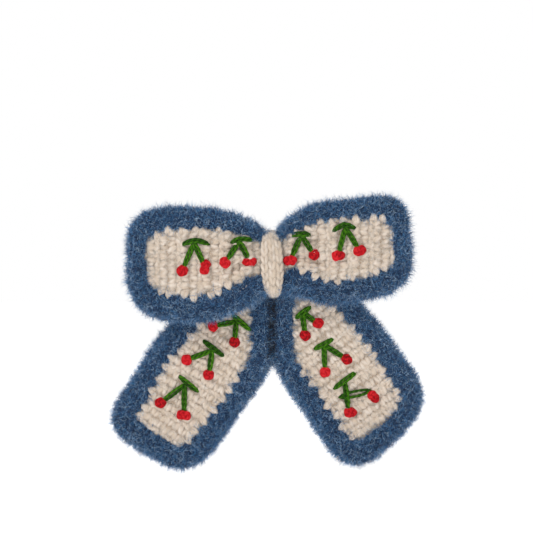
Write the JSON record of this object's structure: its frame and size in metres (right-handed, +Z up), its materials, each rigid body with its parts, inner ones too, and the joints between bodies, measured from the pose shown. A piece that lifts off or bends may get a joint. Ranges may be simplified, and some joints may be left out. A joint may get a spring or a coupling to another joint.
{
  "type": "hair bow",
  "caption": "Crocheted hair bow with fuzzy contrast edging, hanging tails, embroidered cherries and a knitted centre band, on a sprung alligator clip.",
  "frame": {"origin": "between the clip's closed jaws, on the bow's centre line behind the knot", "axes": "+X to the wearer's left along the loops (the viewer's right), +Y towards the head, +Z up, with the tails hanging down"},
  "size_m": [0.1245, 0.0237, 0.1089],
  "materials": {
    "cream_yarn": "matte crocheted and knitted off-white yarn",
    "blue_brushed_yarn": "brushed fuzzy denim-blue yarn",
    "green_yarn": "twisted embroidery yarn",
    "red_yarn": "knotted embroidery yarn",
    "spring_steel": "plated spring steel"
  },
  "bodies": {
    "bow": {"bow_panel": "cream_yarn", "bow_edging": "blue_brushed_yarn", "tail_gather": "cream_yarn", "cinch_yarn": "cream_yarn", "knot_band": "cream_yarn", "clip_front_plate": "spring_steel", "clip_hinge_pin": "spring_steel", "clip_spring": "spring_steel", "left_loop_cherry_1_sprig": "green_yarn", "left_loop_cherry_1_berry_a": "red_yarn", "left_loop_cherry_1_berry_b": "red_yarn", "left_loop_cherry_2_sprig": "green_yarn", "left_loop_cherry_2_berry_a": "red_yarn", "left_loop_cherry_2_berry_b": "red_yarn", "right_loop_cherry_1_sprig": "green_yarn", "right_loop_cherry_1_berry_a": "red_yarn", "right_loop_cherry_1_berry_b": "red_yarn", "right_loop_cherry_2_sprig": "green_yarn", "right_loop_cherry_2_berry_a": "red_yarn", "right_loop_cherry_2_berry_b": "red_yarn"},
    "left_tail": {"left_tail_panel": "cream_yarn", "left_tail_edging": "blue_brushed_yarn", "left_tail_cherry_1_sprig": "green_yarn", "left_tail_cherry_1_berry_a": "red_yarn", "left_tail_cherry_1_berry_b": "red_yarn", "left_tail_cherry_2_sprig": "green_yarn", "left_tail_cherry_2_berry_a": "red_yarn", "left_tail_cherry_2_berry_b": "red_yarn", "left_tail_cherry_3_sprig": "green_yarn", "left_tail_cherry_3_berry_a": "red_yarn", "left_tail_cherry_3_berry_b": "red_yarn"},
    "right_tail": {"right_tail_panel": "cream_yarn", "right_tail_edging": "blue_brushed_yarn", "right_tail_cherry_1_sprig": "green_yarn", "right_tail_cherry_1_berry_a": "red_yarn", "right_tail_cherry_1_berry_b": "red_yarn", "right_tail_cherry_2_sprig": "green_yarn", "right_tail_cherry_2_berry_a": "red_yarn", "right_tail_cherry_2_berry_b": "red_yarn", "right_tail_cherry_3_sprig": "green_yarn", "right_tail_cherry_3_berry_a": "red_yarn", "right_tail_cherry_3_berry_b": "red_yarn"},
    "rear_jaw": {"clip_rear_jaw": "spring_steel"}
  },
  "joints": [
    {"name": "left_tail_swing", "type": "hinge", "parent": "bow", "child": "left_tail", "pos_m": [0, -0.00106, -0.004], "axis": [1, 0, 0], "range_deg": [-2, 30]},
    {"name": "right_tail_swing", "type": "hinge", "parent": "bow", "child": "right_tail", "pos_m": [0, -0.00106, -0.004], "axis": [1, 0, 0], "range_deg": [-2, 30]},
    {"name": "clip_hinge", "type": "hinge", "parent": "bow", "child": "rear_jaw", "pos_m": [-0.015, 0.0019, 0], "axis": [0, 0, 1], "range_deg": [0, 28], "stiffness_Nm_per_rad": 0.08, "springref_deg": -45.84, "deforming": ["clip_spring"]}
  ]
}
